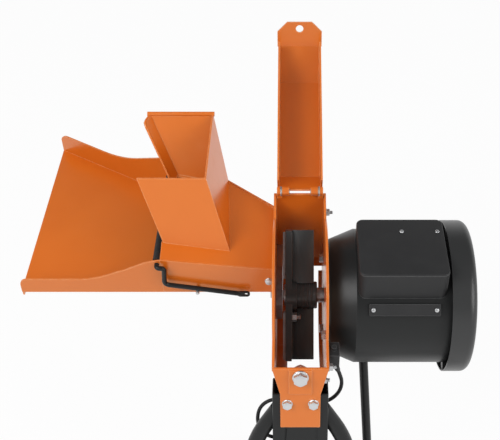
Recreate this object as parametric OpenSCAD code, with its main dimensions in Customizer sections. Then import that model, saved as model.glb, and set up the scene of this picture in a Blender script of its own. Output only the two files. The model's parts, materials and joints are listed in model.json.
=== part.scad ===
// Electric garden shredder on a wheeled stand, shown with its chamber cover swung open.
// X runs along the rotor shaft, from the loading tray to the motor fan; Y points to the
// back and Z up. The origin lies on the floor, under the middle of the front cross tube.

/* [Rotor] */
// Radius that the rotor arms sweep
rotor_r = 105; // [95:1:112]
// Thickness of the rotor arm plate
arm_t = 10; // [8:0.5:12]
// Width of the rotor arm plate
arm_w = 44; // [38:1:48]
// Angle of the rotor arms above the level, at rest
arm_angle = 47; // [0:1:90]
// Width of the throwing paddles along the shaft
paddle_w = 35; // [28:1:36]
// Thickness of the throwing paddles
paddle_t = 6; // [4:0.5:8]
// Radius of the motor shaft
shaft_r = 12; // [10:0.5:14]
// Radius of the clamping hub
hub_r = 21; // [19:0.5:23]
// Thickness of the knives
knife_t = 4; // [3:0.5:6]

/* [Chamber] */
// Inner width of the chamber
chamber_w = 76; // [74:1:84]
// Thickness of the chamber plates
plate_t = 4; // [3:0.5:5]
// Gap between the rotor and the back wall
back_gap = 13; // [11:1:20]
// Height of the rotor shaft above the floor
axis_z = 600; // [560:5:660]
// Height of the hinge pins above the shaft
hinge_z = 119; // [117:1:124]
// Reach of the front lip before the shaft
lip_reach = 158; // [154:1:166]
// Height of the front lip above the shaft
lip_z = 18; // [14:1:22]
// Lean of the neck and the column, foot forward
neck_lean = 15; // [10:1:20]
// Radius of the latch bolt
latch_r = 6; // [5:0.5:7]

/* [Cover] */
// Thickness of the cover sheet
cover_t = 3; // [2:0.5:4]
// Rise of the cover over the chamber opening
cover_rise = 46; // [44:1:54]
// Angle that the cover stands open
open_angle = 176; // [160:1:180]
// Width of the latch tab
tab_w = 77; // [60:1:84]
// Length of the latch tab
tab_l = 43; // [36:1:50]

/* [Feed] */
// Thickness of the feed sheet metal
sheet_t = 2.5; // [2:0.25:3]
// Height of the feed floor above the shaft
floor_z = 13; // [8:1:16]
// Length of the closed throat
throat_l = 174; // [160:1:190]
// Length of the open tray
tray_l = 225; // [180:5:260]
// Width of the throat at the chamber
throat_w = 122; // [110:1:126]
// Flare of the far wall, seen from above
flare = 30.6; // [24:0.2:34]
// Height of the tray's near wall at its mouth
tray_wall = 27; // [20:1:36]
// Height of the tray's far wall at its mouth
tray_far_wall = 40; // [30:1:48]
// Height of the hood mouth above the shaft
hood_z = 190; // [170:2:220]
// Length of the hood mouth along the shaft
hood_l = 105; // [90:1:112]
// Depth of the hood mouth
hood_d = 164; // [150:1:170]

/* [Motor] */
// Radius of the motor barrel
barrel_r = 106; // [100:1:112]
// Length of the motor barrel
barrel_l = 142; // [120:1:170]
// Length of the conical end bell
bell_l = 38; // [30:1:45]
// Radius of the end bell at the chamber
bell_r = 90; // [80:1:95]
// Radius of the fan cowl
cowl_r = 120; // [116:1:126]
// Length of the fan cowl
cowl_l = 38; // [34:1:50]
// Height of the terminal box lid above the barrel
box_rise = 19; // [16:1:30]

/* [Stand] */
// Width of the stand column
column_w = 84; // [76:1:90]
// Depth of the stand column
column_d = 40; // [30:1:50]
// Length of the cross tubes
cross_l = 460; // [420:10:520]
// Height and depth of the base tubes
tube = 40; // [30:1:45]
// Wall of the stand tubes
tube_wall = 3; // [2:0.5:4]
// Radius of the wheels
wheel_r = 90; // [80:1:100]
// Width of the wheels
wheel_w = 40; // [34:1:46]
// Distance of the rear cross tube behind the shaft
rear_back = 75; // [60:5:120]

/* [Hidden] */
$fn = 64;
eps = 0.01;
run_fit = 0.05;
face_gap = 0.3;
bend_swell = 0.4;
orange = [0.80, 0.33, 0.09];
black = [0.07, 0.07, 0.075];
steel = [0.66, 0.67, 0.68];
dark_steel = [0.22, 0.23, 0.24];
rubber = [0.04, 0.04, 0.04];
// Chamber
half_w = chamber_w / 2;
outer_w = half_w + plate_t;
back_y = rotor_r + back_gap;
hinge_y = back_y - 2;
hinge_run = hinge_y + lip_reach;
hinge_drop = hinge_z - lip_z;
open_slope = atan2(hinge_drop, hinge_run);
open_l = norm([hinge_run, hinge_drop]);
plate_r = rotor_r + 17;
lip_left = 17.6;
lip_right = 6;
lip_t = 3;
knuckle_r = 7;
hinge_pin_r = 4;
knuckle_in = 17.5;
knuckle_mid = 28.5;
knuckle_out = half_w - 1;
back_low = -50;
window_r = rotor_r - 7;
neck_taper = 48;
plate_foot = 8;
cheek_top = 18;
cheek_d = 14;
neck_tail = 62;
neck_w = 60;
latch_s = 13;
latch_head = 7.5;
washer_t = 2.5;
pad = 34;
pad_top = 2;
pad_low = 45;
pad_t = 3;
neck_bolt_s = 65;
neck_bolt_x = 19.5;
m8_r = 4;
m8_head = 5.5;
m8_af = 13;
// Rotor
arm_x = -23;
hub_x = -5;
hub_end = 27;
paddle_root = 25;
paddle_side = 8;
boss_r = hub_r + 4;
knife_in = 27;
knife_out = rotor_r - 4;
knife_bolt_r = [34, 80];
knife_bolt_side = -10;
bolt_past = 14;
nut_t = 6.5;
thin_washer = 1.6;
bed_gap = 1;
bed_l = 135;
bed_front = 35;
bed_drop = 18;
// Cover
cover_side = 1.3;
cover_w = chamber_w - 2 * cover_side;
cover_turn = 180 + open_slope - open_angle;
function cover_un(p) = [
    (hinge_y - p[0]) * cos(open_slope) + (hinge_z - p[1]) * sin(open_slope),
    (hinge_y - p[0]) * sin(open_slope) - (hinge_z - p[1]) * cos(open_slope)
];
tab_out = plate_t + pad_t + 0.5;
tab_up = 18;
tab_foot = cover_un(neck_yz(-tab_up, tab_out));
cover_start = [9 * cos(44), 9 * sin(44)];
cover_bend1 = [48, cover_rise];
cover_bend2 = [230, cover_rise];
flange_low = -8;
tab_hole_r = latch_r + 0.5;
tab_cut = 17;
// Feed
near_y = -4;
throat_end = -outer_w;
throat_start = throat_end - throat_l;
tray_start = throat_start - tray_l;
far_y0 = near_y + throat_w;
roof_near_end = 60;
roof_near_start = 82;
roof_far_end = 83;
roof_x = (roof_near_start - roof_near_end) / throat_l;
roof_y = (roof_far_end - roof_near_end) / throat_w;
hood_right = -142;
hood_front = 63;
hood_low = floor_z + 20;
hood_lean_front = 0.33;
hood_lean_back = 0.76;
hood_lean_right = 0.276;
hood_lean_left = 0.33;
flap_x = throat_start - 5;
flap_z = roof_near_start - 8;
flap_pin_r = 4;
flap_sleeve_r = 7.5;
flap_t = 5;
flap_taper = 20;
flap_y0 = near_y + sheet_t + 3;
flap_y1 = far_y(throat_start) - 12;
lever_y = near_y - 8;
lever_l = 128;
lever_rise = 25;
screw_rise = 24;
screw_x = throat_end - 7;
far_high = roof_at(throat_start, far_y(throat_start)) - 18;
// Motor
flange_t = 4;
bell_x = outer_w;
barrel_x = bell_x + flange_t + bell_l;
barrel_end = barrel_x + barrel_l;
barrel_wall = 8;
shaft_end = barrel_end + 26;
cowl_wall = 2;
cowl_x = barrel_end - 2;
cowl_end = cowl_x + cowl_l;
bearing_r = 26;
bearing_w = 15;
flange_pcd = 165;
box_x = barrel_x + 2;
box_w = 132;
box_y0 = -75;
box_d = 119;
box_wall = 3;
lid_t = 3;
box_z = barrel_r + box_rise;
box_low = 40;
strip_a = 144;
strip_x = box_x + 16;
strip_l = box_w - 26;
strip_w = 18;
strip_rise = 4;
seat_gap = 0.2;
core_in = 26;
core_short = 72;
bore_r = 56;
air_gap = 0.6;
winding_r = 64;
winding_w = 22;
winding_l = 20;
// Stand
neck_foot = neck_taper + 2;
head_y = lip_reach + (axis_z + lip_z - tube) * tan(neck_lean) - column_d / (2 * cos(neck_lean));
column_s = (axis_z + lip_z) / cos(neck_lean);
brace_r = 12.5;
brace_drop = 31;
brace_out = 30;
brace_bend = 155;
brace_gap = 11.5;
base_x = 30;
rail_x = 110;
rear_y = head_y + rear_back;
leg_r = 7.5;
leg_top = [104, -20];
leg_foot = [140, -200];
cap_t = 5;
axle_r = 8;
axle_z = wheel_r + 2;
bracket_x = cross_l / 2 - 36;
bracket_t = 6;
bracket_up = 20;
wheel_x = cross_l / 2 + cap_t + 5;
axle_cap_t = 6;

// Shared shapes
module head() { translate([0, head_y, axis_z]) children(); }
module yz(x0, t) { translate([x0, 0, 0]) rotate([90, 0, 90]) linear_extrude(t) children(); }
module xcyl(x0, l, r) { translate([x0, 0, 0]) rotate([0, 90, 0]) cylinder(h = l, r = r); }
module xring(x0, l, r, hole) {
    difference() {
        xcyl(x0, l, r);
        xcyl(x0 - 1, l + 2, hole);
    }
}
module hex_x(x0, l, af) {
    translate([x0, 0, 0]) rotate([0, 90, 0]) cylinder(h = l, d = af / cos(30), $fn = 6);
}
module round_rect(w, d, r) {
    translate([r, 0]) square([w - 2 * r, d]);
    translate([0, r]) square([w, d - 2 * r]);
    for (x = [r, w - r], y = [r, d - r]) translate([x, y]) circle(r);
}
// Sheet along a bent line, d to its left
function seg_n(a, b) = [a[1] - b[1], b[0] - a[0]] / norm(b - a);
function miter(p, i, d) =
    i == 0 ? p[0] + d * seg_n(p[0], p[1])
    : i == len(p) - 1 ? p[i] + d * seg_n(p[i - 1], p[i])
    : let (n1 = seg_n(p[i - 1], p[i]), n2 = seg_n(p[i], p[i + 1])) p[i] + d * (n1 + n2) / (1 + n1 * n2);
function ribbon(p, d) = concat(p, [for (i = [len(p) - 1:-1:0]) miter(p, i, d)]);
// Solid with a low and a high quad, both seen anticlockwise from above
module block8(low, high) {
    polyhedron(concat(low, high), [
        [0, 1, 2, 3], [4, 7, 6, 5], [0, 4, 5, 1], [1, 5, 6, 2], [2, 6, 7, 3], [3, 7, 4, 0]
    ]);
}

// Chamber
function neck_yz(s, out) = [
    -lip_reach - s * sin(neck_lean) - out * cos(neck_lean), lip_z - s * cos(neck_lean) + out * sin(neck_lean)
];
module neck_plane(out) {
    translate([0, neck_yz(0, out)[0], neck_yz(0, out)[1]]) rotate([90 - neck_lean, 0, 0]) children();
}
module plate_outline() {
    circle(plate_r);
    polygon([
        [back_y + plate_t, hinge_z - 9], neck_yz(0, 0), neck_yz(plate_foot, 0),
        [-0.57 * plate_r, -0.62 * plate_r], [0, -0.82 * plate_r], [back_y + plate_t, back_low]
    ]);
}
function far_y(x) = far_y0 + (throat_end - x) * tan(flare);
function roof_at(x, y) = roof_near_end + (throat_end - x) * roof_x + (y - near_y) * roof_y;
module feed_window() {
    intersection() {
        circle(window_r);
        polygon([
            [near_y + sheet_t, floor_z + sheet_t], [far_y0 - sheet_t, floor_z + sheet_t],
            [far_y0 - sheet_t, roof_at(throat_end, far_y0) - sheet_t - 2],
            [near_y + sheet_t, roof_at(throat_end, near_y) - sheet_t - 2]
        ]);
    }
}
// Bent-in edge that narrows the discharge under the rotor
module discharge_lip(x0, w) {
    yz(x0, w) intersection() {
        difference() {
            circle(plate_r - 1);
            circle(plate_r - 1 - lip_t);
        }
        polygon(concat([[0, 0]], [for (a = [27:22:93]) 2 * plate_r * [cos(a), -sin(a)]]));
    }
}
module left_side_plate() color(orange) head() {
    yz(-outer_w, plate_t) difference() {
        plate_outline();
        feed_window();
        for (p = bed_bolts) translate(p) circle(m8_r);
    }
    discharge_lip(-half_w - 1, lip_left + 1);
}
bed_bolts = [[10, -8], [70, -8]];
module flange_bolt_places() {
    for (a = [0:90:270]) rotate([a, 0, 0]) translate([0, flange_pcd / 2, 0]) children();
}
module right_side_plate() color(orange) head() {
    difference() {
        yz(half_w, plate_t) plate_outline();
        xcyl(half_w - 1, plate_t + 2, shaft_r + 8);
        flange_bolt_places() xcyl(half_w - 1, plate_t + 2, m8_r);
    }
    discharge_lip(half_w - lip_right, lip_right + 1);
}
module back_wall() color(orange) head() {
    yz(-half_w, chamber_w) polygon(ribbon([
        [back_y, hinge_z - 9], [back_y, back_low + 18], [back_y - 5, back_low]
    ], plate_t));
    for (side = [-1, 1]) difference() {
        x0 = side > 0 ? knuckle_mid + face_gap : -knuckle_out;
        l = knuckle_out - knuckle_mid - face_gap;
        union() {
            translate([0, hinge_y, hinge_z]) xcyl(x0, l, knuckle_r);
            translate([x0, hinge_y - 4, hinge_z - 12]) cube([l, 4 + back_y + plate_t - hinge_y, 12]);
        }
        translate([0, hinge_y, hinge_z]) xcyl(x0 - 1, l + 2, hinge_pin_r);
    }
}
module hinge_pins() color(steel) head() for (side = [-1, 1])
    translate([0, hinge_y, hinge_z])
        xcyl(side > 0 ? knuckle_in - 1 : -knuckle_out, knuckle_out - knuckle_in + 1, hinge_pin_r);
module neck_outline() {
    polygon([
        [-outer_w, 0], [outer_w, 0], [neck_w / 2, -neck_taper], [neck_w / 2, -neck_taper - neck_tail],
        [-neck_w / 2, -neck_taper - neck_tail], [-neck_w / 2, -neck_taper]
    ]);
}
// Bent-back edge along the taper of the neck
module neck_cheek(side) {
    function edge(s) = half_w - plate_t / 2 - (outer_w - neck_w / 2) * s / neck_taper;
    translate([0, 0, -cheek_d]) linear_extrude(cheek_d + 1) polygon([for (q = [
        [edge(cheek_top), cheek_top], [edge(cheek_top) + plate_t, cheek_top],
        [edge(neck_taper) + plate_t, neck_taper], [edge(neck_taper), neck_taper]
    ]) [side * q[0], -q[1]]]);
}
module neck_plate() color(orange) head() neck_plane(0) difference() {
    union() {
        linear_extrude(plate_t) neck_outline();
        for (side = [-1, 1]) neck_cheek(side);
        translate([-pad / 2, -pad_low, plate_t - eps]) cube([pad, pad_low - pad_top, pad_t + eps]);
    }
    translate([0, -latch_s, -1]) cylinder(h = plate_t + pad_t + 2, r = latch_r);
    for (side = [-1, 1]) translate([side * neck_bolt_x, -neck_bolt_s, -1])
        cylinder(h = plate_t + 2, r = m8_r);
}
module latch_bolt() color(steel) head() neck_plane(0) translate([0, -latch_s, 0]) {
    translate([0, 0, plate_t + pad_t]) cylinder(h = washer_t, r = latch_r * 2);
    translate([0, 0, plate_t + pad_t + washer_t])
        cylinder(h = latch_head, d = latch_r * 3.2 / cos(30), $fn = 6);
    translate([0, 0, -14]) cylinder(h = 14 + plate_t + pad_t + washer_t + eps, r = latch_r);
    translate([0, 0, -10]) cylinder(h = 10, d = latch_r * 3.2 / cos(30), $fn = 6);
}
module bed_knife() color(steel) head() difference() {
    x1 = arm_x - knife_t - bed_gap;
    translate([-half_w, -bed_front, -bed_drop]) cube([x1 + half_w, bed_l, bed_drop + floor_z + sheet_t]);
    for (p = bed_bolts) translate([0, p[0], p[1]]) xcyl(-half_w - 1, x1 + half_w + 2, m8_r);
}
module chamber_bolts() color(steel) head() {
    for (p = bed_bolts) translate([0, p[0], p[1]]) {
        hex_x(-outer_w - m8_head, m8_head, m8_af);
        xcyl(-outer_w - eps, outer_w + arm_x - knife_t - bed_gap + eps, m8_r);
    }
}

// Rotor, drawn with its arms level along Y and then turned
module rotor_turn() { head() rotate([arm_angle, 0, 0]) children(); }
module both_arms() { for (a = [0, 180]) rotate([a, 0, 0]) children(); }
module knife_bolt_places() {
    both_arms() for (r = knife_bolt_r) translate([0, r, knife_bolt_side]) children();
}
module rotor_arm() color(black) rotor_turn() difference() {
    union() {
        yz(arm_x, arm_t) intersection() {
            square([2 * rotor_r, arm_w], center = true);
            circle(rotor_r);
        }
        xcyl(arm_x, hub_x - arm_x, boss_r);
    }
    xcyl(arm_x - 1, hub_x - arm_x + 2, shaft_r);
    knife_bolt_places() xcyl(arm_x - 1, arm_t + 2, m8_r);
}
module rotor_hub() color(black) rotor_turn() difference() {
    union() {
        xcyl(hub_x, hub_end - hub_x, hub_r);
        for (x = [hub_x + 6:7:hub_end - 5]) xring(x, 3.5, hub_r + 0.6, hub_r - 1);
    }
    xcyl(hub_x - 1, hub_end - hub_x + 2, shaft_r);
}
module rotor_paddles() color(black) rotor_turn() both_arms()
    translate([arm_x + arm_t, boss_r + 1, paddle_side - paddle_t / 2])
        cube([paddle_w, rotor_r - boss_r - 2, paddle_t]);
module chipping_knives() color(steel) rotor_turn() both_arms() difference() {
    yz(arm_x - knife_t, knife_t) polygon([
        [knife_in, -arm_w / 2 + 4], [knife_out, -arm_w / 2 + 4],
        [knife_out, arm_w / 2 - 4], [knife_in, arm_w / 2 - 4]
    ]);
    for (r = knife_bolt_r) translate([0, r, knife_bolt_side]) xcyl(arm_x - knife_t - 1, knife_t + 2, m8_r);
    translate([arm_x - knife_t, knife_in - 1, arm_w / 2 - 4]) rotate([0, -35, 0])
        translate([-10, 0, -10]) cube([10, knife_out - knife_in + 2, 20]);
}
// The inner bolt of each knife has a nut, the outer one is tapped into the arm and ends flush
module knife_bolts() color(steel) rotor_turn() both_arms() {
    translate([0, knife_bolt_r[1], knife_bolt_side]) xcyl(arm_x - knife_t, knife_t + arm_t, m8_r);
    translate([0, knife_bolt_r[0], knife_bolt_side]) {
        xcyl(arm_x - knife_t, knife_t + arm_t + bolt_past, m8_r);
        xring(arm_x + arm_t, thin_washer, 2 * m8_r, m8_r);
        difference() {
            hex_x(arm_x + arm_t + thin_washer, nut_t, m8_af);
            xcyl(arm_x + arm_t, bolt_past, m8_r);
        }
    }
}
module shaft_end_bolt() color(steel) rotor_turn() {
    xcyl(arm_x - knife_t / 2, knife_t / 2, shaft_r + 5);
    xcyl(arm_x - knife_t, knife_t / 2, 8);
}

// Motor
module motor_shaft() color(steel) head() xcyl(arm_x, shaft_end - arm_x, shaft_r);
module end_bell() color(black) head() difference() {
    union() {
        xcyl(bell_x, flange_t, bell_r);
        translate([bell_x + flange_t, 0, 0]) rotate([0, 90, 0])
            cylinder(h = bell_l, r1 = bell_r, r2 = barrel_r);
    }
    translate([bell_x + flange_t + 10, 0, 0]) rotate([0, 90, 0])
        cylinder(h = bell_l, r1 = bell_r - 10, r2 = barrel_r - barrel_wall);
    xcyl(bell_x - 1, bell_l, shaft_r + 6);
    xcyl(bell_x + flange_t, bearing_w + 1, bearing_r);
    flange_bolt_places() xcyl(bell_x - 1, 14, m8_r);
}
module motor_barrel() color(black) head() difference() {
    xcyl(barrel_x, barrel_l, barrel_r);
    xcyl(barrel_x - 1, barrel_l + 2, barrel_r - barrel_wall);
}
core_x = barrel_x + core_in;
core_l = barrel_l - core_short;
module stator_core() color(dark_steel) head() xring(core_x, core_l, barrel_r - barrel_wall, bore_r);
module stator_windings() color([0.72, 0.36, 0.16]) head() {
    for (x = [core_x - winding_l, core_x + core_l]) translate([x, 0, 0]) rotate([0, 90, 0])
        rotate_extrude() translate([winding_r, 0]) square([winding_w, winding_l]);
}
module rotor_core() color(steel) head() xring(core_x, core_l, bore_r - air_gap, shaft_r);
module bearing(x0) {
    xring(x0, bearing_w, bearing_r, bearing_r - 5);
    xring(x0 + 2, bearing_w - 4, bearing_r - 5, shaft_r + 4 + run_fit);
    xring(x0, bearing_w, shaft_r + 4 + run_fit, shaft_r + run_fit);
}
module front_bearing() color(steel) head() bearing(bell_x + flange_t);
module rear_bearing() color(steel) head() bearing(barrel_end - bearing_w);
module cowl_arms(r_in, r_out, x0, l) {
    intersection() {
        for (a = [45:90:315]) rotate([a, 0, 0]) translate([x0, r_in, -7]) cube([l, r_out - r_in + 1, 14]);
        xcyl(x0, l, r_out);
    }
}
module rear_shield() color(black) head() difference() {
    union() {
        xcyl(barrel_end - 10, 10, barrel_r - barrel_wall);
        xcyl(barrel_end - bearing_w, bearing_w, bearing_r + 8);
        cowl_arms(barrel_r - barrel_wall - 12, barrel_r - barrel_wall - 1, barrel_end - 2, 7);
        cowl_arms(barrel_r - barrel_wall - 12, cowl_r - cowl_wall, barrel_end, 5);
    }
    xcyl(barrel_end - bearing_w - 1, bearing_w + 1 + eps, bearing_r);
    xcyl(barrel_end - bearing_w, bearing_w + 8, shaft_r + 6);
}
module cooling_fan() color(black) head() {
    difference() {
        union() {
            xcyl(barrel_end + 9, 14, shaft_r + 9);
            xcyl(barrel_end + 9, 3, 70);
            for (a = [0:40:320]) rotate([a, 0, 0])
                translate([barrel_end + 9, shaft_r + 5, -1.5])
                    cube([15, cowl_r - cowl_wall - 9 - shaft_r - 5, 3]);
        }
        xcyl(barrel_end, 40, shaft_r);
    }
}
module fan_cowl() color(black) head() difference() {
    translate([cowl_x, 0, 0]) rotate([0, 90, 0]) rotate_extrude() difference() {
        union() {
            square([cowl_r, cowl_l - 12]);
            square([cowl_r - 12, cowl_l]);
            translate([cowl_r - 12, cowl_l - 12]) circle(12);
        }
        translate([-1, -1]) square([1 + cowl_r - cowl_wall, cowl_l - 12 + 1]);
        translate([-1, -1]) square([1 + cowl_r - 12, cowl_l - cowl_wall + 1]);
        translate([cowl_r - 12, cowl_l - 12]) circle(12 - cowl_wall);
    }
    for (ring = [30:14:86]) for (a = [0:90:270]) rotate([a + 8, 0, 0])
        translate([cowl_end - 5, 0, 0]) rotate([0, 90, 0])
            rotate_extrude(angle = 74) translate([ring, 0]) square([8, 8]);
}
// The top bolt lies in the way of the cover, so it is countersunk flush
module flange_bolts() color(steel) head() {
    flange_bolt_places() xcyl(half_w - eps, plate_t + 12, m8_r);
    for (a = [0, 180, 270]) rotate([a, 0, 0]) translate([0, flange_pcd / 2, 0])
        hex_x(half_w - m8_head, m8_head, m8_af);
}
module box_outline(inset) {
    translate([box_x + inset, box_y0 + inset]) round_rect(box_w - 2 * inset, box_d - 2 * inset, 10 - inset);
}
module terminal_box() color(black) head() difference() {
    translate([0, 0, box_low]) linear_extrude(box_z - lid_t - box_low) box_outline(0);
    translate([0, 0, box_low - 1]) linear_extrude(box_z) box_outline(box_wall);
    xcyl(box_x - 1, box_w + 2, barrel_r);
}
module box_lid() color(black) head() translate([0, 0, box_z - lid_t]) linear_extrude(lid_t) box_outline(0);
box_screw_x = [box_w - 64, box_w - 10];
module box_screws() color(steel) head() {
    for (x = box_screw_x) translate([box_x + x, box_y0 + box_d - 28, box_z]) cylinder(h = 1.8, r = 3.2);
    for (x = [6, strip_l - 6]) rotate([strip_a, 0, 0]) translate([strip_x + x, barrel_r + strip_rise, 0])
        rotate([-90, 0, 0]) cylinder(h = 2, r = 3.4);
}
module box_strip() color(black) head() rotate([strip_a, 0, 0]) difference() {
    translate([strip_x, barrel_r - 6, -strip_w / 2]) cube([strip_l, 6 + strip_rise, strip_w]);
    xcyl(strip_x - 1, strip_l + 2, barrel_r + seat_gap);
}
module start_capacitor() color(steel) head()
    translate([0, -58, sqrt(pow(barrel_r + 13, 2) - 58 * 58)]) xcyl(box_x + 20, 90, 13);

// Cover, drawn closed along the chamber opening and then swung open
module cover_pose() {
    head() translate([0, hinge_y, hinge_z]) rotate([cover_turn, 0, 0]) children();
}
function flip(p) = [for (q = p) [q[0], -q[1]]];
module top_cover() color(orange) cover_pose() difference() {
    union() {
        yz(-cover_w / 2, cover_w)
            polygon(ribbon(flip([cover_start, cover_bend1, cover_bend2, tab_foot]), -cover_t));
        for (x = [-cover_w / 2, cover_w / 2 - cover_t]) yz(x, cover_t) polygon(flip([
            [16, flange_low], [open_l - 14, flange_low], tab_foot + [-3, -6], tab_foot + [-1.4, 1.7],
            cover_bend2 + [0, 1], cover_bend1 + [0, 1], [16, 16.5]
        ]));
        for (x = [-knuckle_mid, knuckle_in]) {
            xcyl(x, knuckle_mid - knuckle_in, knuckle_r);
            yz(x, knuckle_mid - knuckle_in) polygon(ribbon(flip([[0, 0], cover_start * 2.5]), -cover_t));
        }
        latch_tab();
    }
    xcyl(-half_w, chamber_w, hinge_pin_r + run_fit);
}
// Latch tab, bent to lie along the neck
module latch_tab() {
    foot = flip([tab_foot])[0];
    translate([0, foot[0], foot[1]]) rotate([90 - neck_lean - 180 - open_slope, 0, 0]) difference() {
        linear_extrude(cover_t) polygon([
            [-tab_w / 2, 1], [tab_w / 2, 1], [tab_w / 2, -tab_l + tab_cut], [tab_w / 2 - tab_cut, -tab_l],
            [tab_cut - tab_w / 2, -tab_l], [-tab_w / 2, -tab_l + tab_cut]
        ]);
        translate([0, -latch_s - tab_up, -1]) cylinder(h = cover_t + 2, r = tab_hole_r);
    }
}

// Feed
module far_sheet(x0, y0) {
    translate([x0, y0, 0]) rotate([0, 0, 180 - flare]) translate([0, sheet_t, 0]) rotate([90, 0, 0])
        linear_extrude(sheet_t) children();
}
module near_sheet(x0) {
    translate([x0, near_y + sheet_t, 0]) rotate([90, 0, 0]) linear_extrude(sheet_t) children();
}
module cut_beyond(x0, x1) {
    translate([x0 - 60, -200, -200]) cube([60, 900, 600]);
    translate([x1, -200, -200]) cube([60, 900, 600]);
}
function over(x0, y0, x1, y1) = [[x0, y0], [x1, y0], [x1, y1], [x0, y1]];
// Outline of a level or sloping feed sheet, let into the walls by half their thickness
function between_walls(x0, x1) = [
    [x0, near_y + sheet_t / 2], [x1, near_y + sheet_t / 2],
    [x1, far_y(x1) - sheet_t / 2 / cos(flare)], [x0, far_y(x0) - sheet_t / 2 / cos(flare)]
];
module roof_sheet() {
    c = between_walls(throat_start - 5, throat_end + 5);
    block8(
        [for (p = c) [p[0], p[1], roof_at(p[0], p[1]) - sheet_t]],
        [for (p = c) [p[0], p[1], roof_at(p[0], p[1])]]
    );
}
module feed_floor(x0, x1) {
    translate([0, 0, floor_z]) linear_extrude(sheet_t) polygon(between_walls(x0, x1));
}
module feed_throat() color(orange) head() difference() {
    wall_l = throat_l / cos(flare);
    union() {
        feed_floor(throat_start - 5, throat_end + 5);
        near_sheet(throat_start) polygon([
            [-5, floor_z - weld_lip], [throat_l + 5, floor_z - weld_lip],
            [throat_l + 5, roof_near_end + weld_lip], [-5, roof_near_start + weld_lip]
        ]);
        far_sheet(throat_end, far_y0) polygon([
            [-5, floor_z - weld_lip], [wall_l + 5, floor_z - weld_lip],
            [wall_l + 5, roof_at(throat_start, far_y(throat_start)) + weld_lip], [-5, roof_far_end + weld_lip]
        ]);
        roof_sheet();
    }
    hood_space(sheet_t, 60, 5);
    cut_beyond(throat_start, throat_end);
}
weld_lip = 1.5;
// Hood space, drawn in by a sheet thickness and longer by extra at both ends;
// past reaches out through its open left side
module hood_space(inset, past, extra) {
    function at(z) = let (dz = hood_z - z) [for (p = over(
        hood_right - hood_l - past + hood_lean_left * dz, hood_front + inset - hood_lean_front * dz,
        hood_right - inset + hood_lean_right * dz, hood_front + hood_d - inset - hood_lean_back * dz
    )) [p[0], p[1], z]];
    block8(at(hood_low - extra), at(hood_z + extra));
}
module mulch_hood() color(orange) head() {
    all = over(-500, -100, 0, 400);
    difference() {
        union() {
            difference() {
                hood_space(0, 0, 0);
                hood_space(sheet_t, 60, 5);
                beyond_fold();
            }
            edge_lip();
        }
        block8([for (p = all) [p[0], p[1], -100]], [for (p = all) [p[0], p[1], roof_at(p[0], p[1])]]);
    }
    translate([0, hood_front + hood_d, hood_z]) xcyl(hood_right - hood_l - 3, hood_l + 5, rim_r);
}
rim_r = 4;
fold_in = 3;
fold_lean = 0.56;
lip_d = 22;
lip_splay = 8;
function hood_back(dz) = hood_front + hood_d - hood_lean_back * dz;
function fold_x(dz) = hood_right - hood_l + fold_in + fold_lean * dz;
// What the hood's back wall loses left of its fold
module beyond_fold() {
    function at(z) = let (dz = hood_z - z, y = hood_back(dz))
        [for (p = over(fold_x(dz) - 80, y - sheet_t - 3, fold_x(dz), y + 2)) [p[0], p[1], z]];
    block8(at(hood_low - 5), at(hood_z + 5));
}
// Lip folded forward along the left edge of the hood's back wall
module edge_lip() {
    function at(z) = let (dz = hood_z - z, x = fold_x(dz), y = hood_back(dz)) [
        [x + 0.5, y, z], [x - sheet_t, y, z],
        [x - lip_splay - sheet_t, y - lip_d, z], [x - lip_splay, y - lip_d, z]
    ];
    block8(at(hood_low), at(hood_z - 1));
}
module flap_bores() {
    translate([flap_x, near_y - 20, flap_z]) rotate([-90, 0, 0])
        cylinder(h = far_y(throat_start) + 60, r = flap_pin_r + run_fit);
}
module loading_tray() color(orange) head() difference() {
    wall_l = tray_l / cos(flare);
    near_top = floor_z + tray_wall;
    near_mid = (near_top + roof_near_start) / 2;
    far_top = floor_z + tray_far_wall;
    union() {
        feed_floor(tray_start - 5, throat_start + 5);
        translate([tray_start - 5, near_y + sheet_t / 2, floor_z - 9])
            cube([sheet_t + 5, far_y(tray_start) - near_y - sheet_t * 1.1, 10]);
        near_sheet(tray_start) polygon([
            [-5, floor_z - weld_lip], [tray_l + 5, floor_z - weld_lip],
            [tray_l + 5, roof_near_start + weld_lip], for (p = bent(
                [tray_l, roof_near_start], [tray_l - 18, roof_near_start - 2], [tray_l * 0.75, near_mid], 14
            )) p, for (p = bent(
                [tray_l * 0.7, near_mid - 4], [tray_l * 0.52, near_top], [tray_l * 0.2, near_top], 24
            )) p, for (p = bent([tray_l * 0.1, near_top], [1, near_top], [0, floor_z + 8], 12)) p
        ]);
        far_sheet(throat_start, far_y(throat_start)) polygon([
            [-5, floor_z - weld_lip], [wall_l + 5, floor_z - weld_lip],
            for (p = bent([wall_l + 2, floor_z + 8], [wall_l - 3, far_top], [wall_l * 0.7, far_top], 16)) p,
            for (p = bent([wall_l * 0.65, far_top], [wall_l * 0.45, far_top], [-5, far_high], 40)) p
        ]);
    }
    cut_beyond(tray_start, throat_start);
    flap_bores();
}
// Screw of the throat, and the stud that the flap lever rests on
stop_r = 3;
stop_run = 51;
lever_drop = 22 / 119;
module throat_bolts() color(steel) head() {
    translate([screw_x, near_y, floor_z + screw_rise]) rotate([90, 0, 0])
        cylinder(h = 4, d = 10 / cos(30), $fn = 6);
    stop_z = floor_z + lever_rise - lever_drop * stop_run - flap_pin_r - stop_r - face_gap;
    translate([flap_x + 9 + stop_run, near_y, stop_z]) rotate([90, 0, 0])
        cylinder(h = near_y - lever_y + 5, r = stop_r);
}
module bar(a, b, r) {
    d = b - a;
    translate(a) rotate([0, acos(d[2] / norm(d)), atan2(d[1], d[0])]) cylinder(h = norm(d), r = r);
}
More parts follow.
